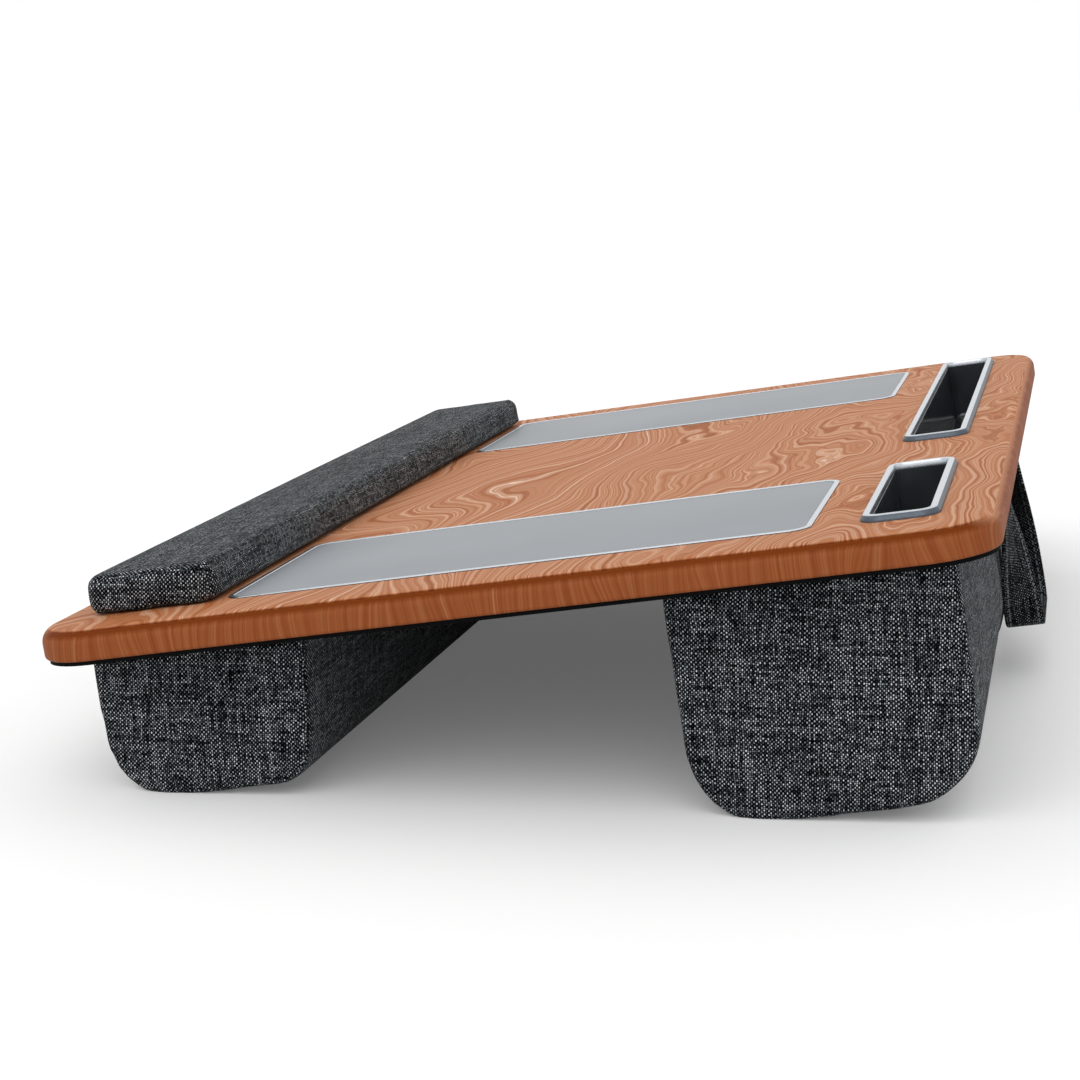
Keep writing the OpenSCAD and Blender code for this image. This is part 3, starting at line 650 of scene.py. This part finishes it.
def charcoal_tweed(name, pitch, light=1.0, stitch_x=None):
    """Polyester tweed, plain-woven from melange yarn: light flecks on charcoal, painted shade that
    turns the gaps between the threads black, and a soft sheen where it is seen along its surface.
    Warp and weft pass over each other in turn; each thread is lighter in some stretches of 20 mm,
    and each crossing differs. The yarn of 0.5 mm is drawn at the pitch that shows. light scales
    the flecks, and below 1 it paints shade on a copy of the cloth. stitch_x places two rows of
    light stitches at that distance from the middle line. Where sew marks the open side of a zip
    flap, the shade under the flap is painted nearly black."""
    slub_mm, row_step, sway_mm, sway_reach, thread_share = 20, 7.31, 8, 0.8, 1.4
    stitch_w, stitch_len, stitch_gap = 0.7, 2.2, 1.1
    material, tree, surface = new_material(name, 0.9, Specular_IOR_Level=0.03,
                                           Sheen_Weight=0.08, Sheen_Roughness=0.3)
    uv = add(tree, "UVMap", {}, uv_map="weave")
    sway = add(tree, "TexNoise", {"Vector": uv, "Scale": 1 / sway_mm, "Detail": 3.0}, "Color",
               noise_dimensions="2D")
    swayed = add(tree, "VectorMath", {0: sway, 1: (2 * sway_reach, 2 * sway_reach, 0), 2: uv},
                 operation="MULTIPLY_ADD")
    count = add(tree, "VectorMath", {0: swayed, 1: (1 / pitch, 1 / pitch, 0)},
                operation="MULTIPLY")
    cell = add(tree, "VectorMath", {0: count}, operation="FLOOR")
    over = add(tree, "TexChecker", {"Vector": count, "Scale": 1.0}, "Fac")
    threads, waves = [], []
    for axis in (0, 1):
        run = [0, 0, 0]
        run[axis] = pitch / slub_mm
        step = [row_step, row_step, 0]
        step[axis] = 0
        stretch = add(tree, "VectorMath", {0: count, 1: run}, operation="MULTIPLY")
        place = add(tree, "VectorMath", {0: cell, 1: step, 2: stretch}, operation="MULTIPLY_ADD")
        threads.append(add(tree, "TexNoise", {"Vector": place, "Scale": 1.0, "Detail": 1.0},
                           noise_dimensions="2D"))
        turn = add(tree, "Math", {0: add(tree, "SeparateXYZ", {0: count}, axis), 1: math.pi},
                   operation="MULTIPLY")
        waves.append(add(tree, "Math", {0: add(tree, "Math", {0: turn}, operation="SINE")},
                         operation="ABSOLUTE"))
    chance = add(tree, "TexWhiteNoise", {"Vector": cell}, noise_dimensions="2D")
    fleck = add(tree, "Math", {0: chance, 1: over}, operation="ADD")
    for thread in threads:
        fleck = add(tree, "Math", {0: thread, 1: thread_share, 2: fleck},
                    operation="MULTIPLY_ADD")
    both = add(tree, "Math", {0: waves[0], 1: waves[1]}, operation="MULTIPLY")
    across = add(tree, "Mix", {0: over, 2: waves[1], 3: waves[0]})
    bead = add(tree, "Math", {0: add(tree, "Math", {0: both, 1: 0.5}, operation="POWER"),
                              1: across}, operation="MULTIPLY")
    colour = add(tree, "ValToRGB", {0: add(tree, "MapRange", {0: fleck, 1: 1.3, 2: 3.7})}, stops=[
        (0.15, "#060607"), (0.35, "#2E3134"), (0.55, "#6E7479"), (0.75, "#B0B6BB"),
        (0.95, "#E6EAEE")])
    # Each crossing is shaded round: painted shade darkens the gaps between the threads to black.
    shade = add(tree, "MapRange", {0: bead, 1: 0.25, 2: 0.9, 3: 0.0, 4: light})
    # Painted shade: the open side of the zip flap turns nearly black.
    zip_flap_shade = add(tree, "Attribute", {}, "Fac", attribute_name="zip_flap_shade")
    painted_flap_shade = add(tree, "MapRange", {0: zip_flap_shade, 1: 0.3, 2: 1.0, 3: 1.0, 4: 0.03})
    depth = add(tree, "Math", {0: shade, 1: painted_flap_shade}, operation="MULTIPLY")
    cloth = add(tree, "Mix", {0: 1.0, 6: colour, 7: depth}, 2, data_type="RGBA",
                blend_type="MULTIPLY")
    if stitch_x:
        off, length = (add(tree, "SeparateXYZ", {0: uv}, axis) for axis in (0, 1))
        off = add(tree, "Math", {0: add(tree, "Math", {0: off}, operation="ABSOLUTE"),
                                 1: stitch_x, 2: stitch_w / 2}, operation="COMPARE")
        part = add(tree, "Math", {0: length, 1: stitch_len + stitch_gap},
                   operation="FLOORED_MODULO")
        sewn = add(tree, "Math", {0: part, 1: stitch_len}, operation="LESS_THAN")
        thread = add(tree, "Math", {0: off, 1: sewn}, operation="MULTIPLY")
        cloth = add(tree, "Mix", {0: thread, 6: cloth, 7: linear("#666B70")}, 2,
                    data_type="RGBA")
    tree.links.new(cloth, surface.inputs["Base Color"])
    bump = add(tree, "Bump", {"Strength": 0.5, "Distance": pitch / 3 * MM, "Height": bead})
    tree.links.new(bump, surface.inputs["Normal"])
    return material


tweed = charcoal_tweed("charcoal_tweed", 0.8)
voxel_mm = 3.2
wall_crown = 0.2
end_r = 4
end_crown = 1.4
slack = 0.2
pressure = 4
swell = 1.6
glued_top = 1.5
sag, sag_reach = 2, 14
seam_x, flap_w, flap_lift = 34, 3, 0.9
pocket_gap = 1
for name, nose_r, heel_r, taper in (("front_bolster", 25, 15, 8), ("rear_bolster", 28, 28, 0)):
    low, high = extent(name + "_cover")
    depth, drop = high[1] - low[1] - 2 * wall_crown, high[2] - low[2]

    def outline_at(inset):
        """The bolster's sections in the board's axes, drawn in by the cover's slack too."""
        outline = sections(inset + slack, depth, drop, nose_r, heel_r, taper)
        return outline + [low[1] + wall_crown, high[2]]

    piece = make(name, long_form(outline_at, high[0] - low[0] - 2 * slack, end_r, end_crown))
    remesh(piece, voxel_mm)
    held = to_board(points_of(piece.data))[:, 2] > high[2] - glued_top
    stuff(piece, held, pressure, swell)
    divide(piece)
    if name == "rear_bolster":
        sew(piece, seam_x, flap_w, flap_lift)
    along = to_board(points_of(piece.data))
    along[:, 2] = np.minimum(along[:, 2], high[2])
    if name == "rear_bolster":
        near_top = along[:, 2] > high[2] - voxel_mm
        for slot in ("phone_slot", "tablet_slot"):
            mid, size = middle_and_size(slot + "_well")
            reach = size / 2 - ledge_w + pocket_gap
            in_pocket = near_top & (np.abs(along[:, :2] - mid) < reach).all(1)
            along[in_pocket, 2] = extent(slot + "_well")[0][2] - pocket_gap
    # Its own weight presses the foot flat: within sag_reach of the floor it sinks by up to sag.
    placed = to_frame(along)
    height = placed[:, 2] / MM
    sunk = height - sag * np.clip(1 - height / sag_reach, 0, 1)
    placed[:, 2] = np.maximum(sunk, 0) * MM
    set_points(piece, placed)
    lay_cloth(piece, outline_at(np.zeros(1))[0])
    piece.data.shade_smooth()
    piece.data.materials.append(tweed)
    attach(piece, "desk")
    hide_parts(name + "_cover")


# ---------- The wrist rest ----------
# A foam pad on a hardboard stiffener, wrapped in the same tweed and taped to the board's front.
# Its top is a little crowned, its top edge is soft, and it is flat only where it is taped.

low, high = extent("wrist_rest_cover")
wrist_mid, wrist_size = middle_and_size("wrist_rest_cover")
wrist_voxel_mm = 3
wrist_swell = 1.2
wrist_crown = 1.2
wrist_slack = 0.3
taped_foot = 1.2
seam_r = 1
wrist_edge_r = 3.5
wrist_corner_r = 4
wrist_top = high[2] - wrist_crown
wrist_profile = (
    round_edge(wrist_slack + seam_r, low[2] + seam_r, seam_r, -90, 0, 3)
    + round_edge(wrist_slack + wrist_edge_r, wrist_top - wrist_edge_r, wrist_edge_r, 0, 90, 6)
)
wrap = rings(wrist_mid, wrist_size, wrist_corner_r, wrist_profile, 8)
wrist = make("wrist_rest", [skin(wrap), flat_face(wrap[0]), flat_face(wrap[-1])])
remesh(wrist, wrist_voxel_mm)
held = to_board(points_of(wrist.data))[:, 2] < low[2] + taped_foot
stuff(wrist, held, pressure, wrist_swell)
divide(wrist)
along = to_board(points_of(wrist.data))
along[:, 2] = np.maximum(along[:, 2], low[2])
set_points(wrist, to_frame(along))
lay_cloth(wrist, np.array([[low[1], low[2]], [low[1], wrist_top], [high[1], wrist_top],
                           [high[1], low[2]]]))
wrist.data.shade_smooth()
wrist.data.materials.append(tweed)
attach(wrist, "desk")
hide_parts("wrist_rest_cover")


# ---------- What the cushions hold ----------
# Open-cell foam fills every cover, over a hardboard stiffener. Hook and loop strips hold the
# bolsters under the board, and two strips of foam tape hold the wrist rest on it.

def plain_finish(name, roughness, grain_mm, stops, bump_strength):
    """A dull material with an even grain of the given size, which also lifts its surface."""
    material, tree, surface = new_material(name, roughness)
    grain = add(tree, "TexNoise", {"Vector": along_slope(tree, (grain_mm,) * 3), "Scale": 1.0,
                                   "Detail": 3.0, "Roughness": 0.6})
    colour = add(tree, "ValToRGB", {0: grain}, stops=stops)
    tree.links.new(colour, surface.inputs["Base Color"])
    bump = add(tree, "Bump", {"Strength": bump_strength, "Distance": grain_mm * MM / 4,
                              "Height": grain})
    tree.links.new(bump, surface.inputs["Normal"])
    return material


foam = plain_finish("polyurethane_foam", 0.95, 1.2, [(0.35, "#C9B886"), (0.6, "#E6D9B8")], 0.6)
hardboard = plain_finish("raw_hardboard", 0.85, 1.5, [(0.35, "#8A6A43"), (0.65, "#B4925F")], 0.3)
foam_tape = plain_finish("foam_tape", 0.8, 0.8, [(0.3, "#CFCFCB"), (0.7, "#E2E2DE")], 0.3)
hook_tape = plain_finish("nylon_hooks", 0.7, 0.9, [(0.4, "#0E0E10"), (0.6, "#2A2A2D")], 0.9)
loop_tape = plain_finish("nylon_loops", 0.9, 0.6, [(0.4, "#151517"), (0.6, "#303033")], 0.7)
for cushion in ("wrist_rest", "front_bolster", "rear_bolster"):
    dress(cushion + "_foam", foam)
    dress(cushion + "_stiffener", hardboard)
for cushion in ("front", "rear"):
    dress(cushion + "_hook_strip", hook_tape)
    dress(cushion + "_loop_strip", loop_tape)
dress("wrist_rest_tape", foam_tape)


# ---------- The carry handle ----------
# One length of folded tweed webbing, stitched along both edges. Its two ends lie flat under the
# board, each held by two screws; behind the rear bolster it folds down and hangs in a V loop,
# twisting a quarter turn on each leg so that the grip lies flat in the hand.

tab_low, tab_high = extent("handle_tabs")
loop_low, loop_high = extent("carry_handle")
webbing_w, webbing_t = 17, tab_high[2] - tab_low[2]
fold_y = (loop_low[1] + loop_high[1]) / 2
fold_drop = 0.4
fold_z = tab_high[2] - fold_drop - webbing_t / 2
span = 150
grip = 46
turn_r = 8
bend_r = 1.5
flat_len = 12
twist_power = 1.1
stitch_x = 6.2
drop = fold_z - loop_low[2] - webbing_t / 2
leg_run = (span - grip) / 2
leg_reach = math.hypot(leg_run, drop - turn_r)
leg_dip = math.atan2(drop - turn_r, leg_run) + math.asin(turn_r / leg_reach)
leg_len = math.sqrt(leg_reach ** 2 - turn_r ** 2)
turn_len = turn_r * leg_dip


def left_half():
    """Middle line, width and thickness directions of the webbing from its left end to the middle
    of the grip, with the length so far. The tab runs along y, an arc of the bend radius turns it
    down, the leg dips at leg_dip, and an arc of the turn radius leads to the grip. The width
    turns out of the loop's plane by 90 degrees * (share of the leg) ** twist power."""
    tab_z = (tab_low[2] + tab_high[2]) / 2
    y = np.linspace(tab_low[1], fold_y - bend_r, 8)
    tab = np.stack([0 * y - span / 2, y, 0 * y + tab_z], axis=1)
    start = (fold_z - tab_z + bend_r) / math.sin(leg_dip)
    a = np.radians(np.linspace(15, 75, 5))
    aside = start * math.cos(leg_dip) * (a / (math.pi / 2)) ** 2
    bend = np.stack([aside - span / 2, y[-1] + bend_r * np.sin(a),
                     tab_z - bend_r * (1 - np.cos(a))], axis=1)
    s = np.concatenate([np.linspace(start, leg_len, 60),
                        leg_len + turn_len * np.linspace(0, 1, 13)[1:],
                        leg_len + turn_len + np.linspace(0, grip / 2, 12)[1:]])
    dip = np.clip(leg_dip - (s - leg_len) / turn_r, 0, leg_dip)
    past = np.maximum(s - leg_len - turn_len, 0)
    on_leg = s < leg_len
    x = np.where(on_leg, s * math.cos(leg_dip) - span / 2,
                 past - grip / 2 - turn_r * np.sin(dip))
    z = np.where(on_leg, -s * math.sin(leg_dip), turn_r - drop - turn_r * np.cos(dip))
    share = np.clip((s - flat_len) / (leg_len + turn_len / 2 - flat_len), 0, 1)
    turn = (math.pi / 2 * share ** twist_power)[:, None]
    lean = math.pi / 2 + (dip - math.pi / 2) * np.minimum(s / flat_len, 1)
    across = np.stack([np.sin(lean), 0 * lean, np.cos(lean)], axis=1)
    out = np.array([[0, 1, 0]])
    middle = np.concatenate([tab, bend, np.stack([x, 0 * s + fold_y, fold_z + z], axis=1)])
    wide = np.concatenate([np.tile([1.0, 0, 0], (len(y) + len(a), 1)),
                           np.cos(turn) * across + np.sin(turn) * out])
    thick = np.concatenate([np.tile([0.0, 0, 1], (len(y), 1)),
                            np.stack([0 * a, np.sin(a), np.cos(a)], axis=1),
                            np.cos(turn) * out - np.sin(turn) * across])
    return middle, wide, thick, np.concatenate([y - y[-1], bend_r * a, s + bend_r])


def webbing_outline():
    """Section of the webbing: flat faces, and edges that are half round."""
    edge = webbing_t / 2
    a = np.radians([-90, -45, 0, 45, 90])
    right = np.stack([webbing_w / 2 - edge + edge * np.cos(a), edge * np.sin(a)], axis=1)
    face = np.linspace(webbing_w / 2 - edge, edge - webbing_w / 2, 9)[1:-1]
    top = np.stack([face, np.full(len(face), edge)], axis=1)
    return np.concatenate([right, top, -right, -top])


def webbing():
    """Carries the outline along the whole middle line; the right half mirrors the left one."""
    middle, wide, thick, length = left_half()
    outline = webbing_outline()
    half = middle[:, None] + outline[:, :1] * wide[:, None] + outline[:, 1:] * thick[:, None]
    grid = np.concatenate([half, half[-2::-1] * [-1, 1, 1]])
    run = np.concatenate([length, 2 * length[-1] - length[-2::-1]])
    points, quads = skin(grid)
    around = len(outline)
    last = len(points) - around
    quads += [list(range(around)), list(range(last, last + around))[::-1]]
    mesh = bpy.data.meshes.new("webbing_strap")
    mesh.from_pydata(to_frame(points).tolist(), [], quads)
    along = np.stack([np.tile(outline[:, 0], len(grid)), np.repeat(run, around)], axis=1)
    loops = np.empty(len(mesh.loops), int)
    mesh.loops.foreach_get("vertex_index", loops)
    cloth = mesh.uv_layers.new(name="weave").data
    cloth.foreach_set("uv", along[loops].astype(np.float32).ravel())
    piece = bpy.data.objects.new("webbing_strap", mesh)
    bpy.context.scene.collection.objects.link(piece)
    return piece


strap = webbing()
close_up(strap)
strap.data.shade_smooth()
strap.data.set_sharp_from_angle(angle=math.radians(50))
# Its flecks are dimmed to 0.45: painted shade, for the handle that hangs in the board's shadow.
strap.data.materials.append(charcoal_tweed("tweed_webbing_painted_shade", 0.8, 0.45, stitch_x))
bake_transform(strap)
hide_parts("handle_tabs", "carry_handle")
dress("handle_screws", rim_metal)


# ---------- The stage ----------
# A white floor in a white studio, a wide soft light from the camera's side, and the camera low
# at the board's rear right corner.

def white_floor():
    """Matt white paper with 3 mm clouds: it keeps the soft shadows under the desk, and a faint
    glow of its own, which only the camera sees, lifts them as the photograph's paper does."""
    glow = 0.11
    material, tree, surface = new_material("white_paper", 1.0, Specular_IOR_Level=0.0,
                                           Emission_Color=(1, 1, 1, 1))
    fibre = add(tree, "TexNoise", {"Vector": along_slope(tree, (3, 3, 3)), "Scale": 1.0})
    colour = add(tree, "ValToRGB", {0: fibre}, stops=[(0.0, "#F1F1F1"), (1.0, "#F3F3F3")])
    tree.links.new(colour, surface.inputs["Base Color"])
    seen = add(tree, "LightPath", {}, "Is Camera Ray")
    lift = add(tree, "Math", {0: seen, 1: glow}, operation="MULTIPLY")
    tree.links.new(lift, surface.inputs["Emission Strength"])
    return material


floor_half = 30
floor_mesh = bpy.data.meshes.new("floor")
floor_mesh.from_pydata([(-floor_half, -floor_half, 0), (floor_half, -floor_half, 0),
                        (floor_half, floor_half, 0), (-floor_half, floor_half, 0)],
                       [], [(0, 1, 2, 3)])
floor = bpy.data.objects.new("floor", floor_mesh)
bpy.context.scene.collection.objects.link(floor)
floor.data.materials.append(white_floor())

room_light = 0.82
world = bpy.data.worlds.new("white_studio")
bpy.context.scene.world = world
world.use_nodes = True
sky = world.node_tree
sky.nodes.clear()
clear = add(sky, "LightPath", {}, "Is Camera Ray")
for kind in ("Is Glossy Ray", "Is Transmission Ray"):
    clear = add(sky, "Math", {0: clear, 1: add(sky, "LightPath", {}, kind)}, operation="MAXIMUM")
strength = add(sky, "MapRange", {0: clear, 3: room_light, 4: 1.0})
backdrop = add(sky, "Background", {"Color": linear("#FFFFFF"), "Strength": strength})
world_out = sky.nodes.new("ShaderNodeOutputWorld")
sky.links.new(backdrop, world_out.inputs[0])

lamp = bpy.data.lights.new("softbox", "SUN")
lamp.angle = math.radians(60)
lamp.energy = 1.15
softbox = bpy.data.objects.new("softbox", lamp)
softbox.rotation_euler = Vector((-1, 0.15, -1)).to_track_quat("-Z", "Y").to_euler()
bpy.context.scene.collection.objects.link(softbox)

camera_mm = (1060.3, 406.1, 134.4)
target_m = (0, -0.0492, 0.0545)
roll = -1.365
lens = bpy.data.cameras.new("camera")
lens.lens = 78.416
lens.sensor_width = 36
camera = bpy.data.objects.new("camera", lens)
camera.location = to_frame(camera_mm)
camera.rotation_mode = "QUATERNION"
look = (Vector(target_m) - camera.location).to_track_quat("-Z", "Y")
camera.rotation_quaternion = look @ Quaternion((0, 0, 1), math.radians(roll))
bpy.context.scene.collection.objects.link(camera)
bpy.context.scene.camera = camera
bpy.context.scene.view_settings.view_transform = "Standard"
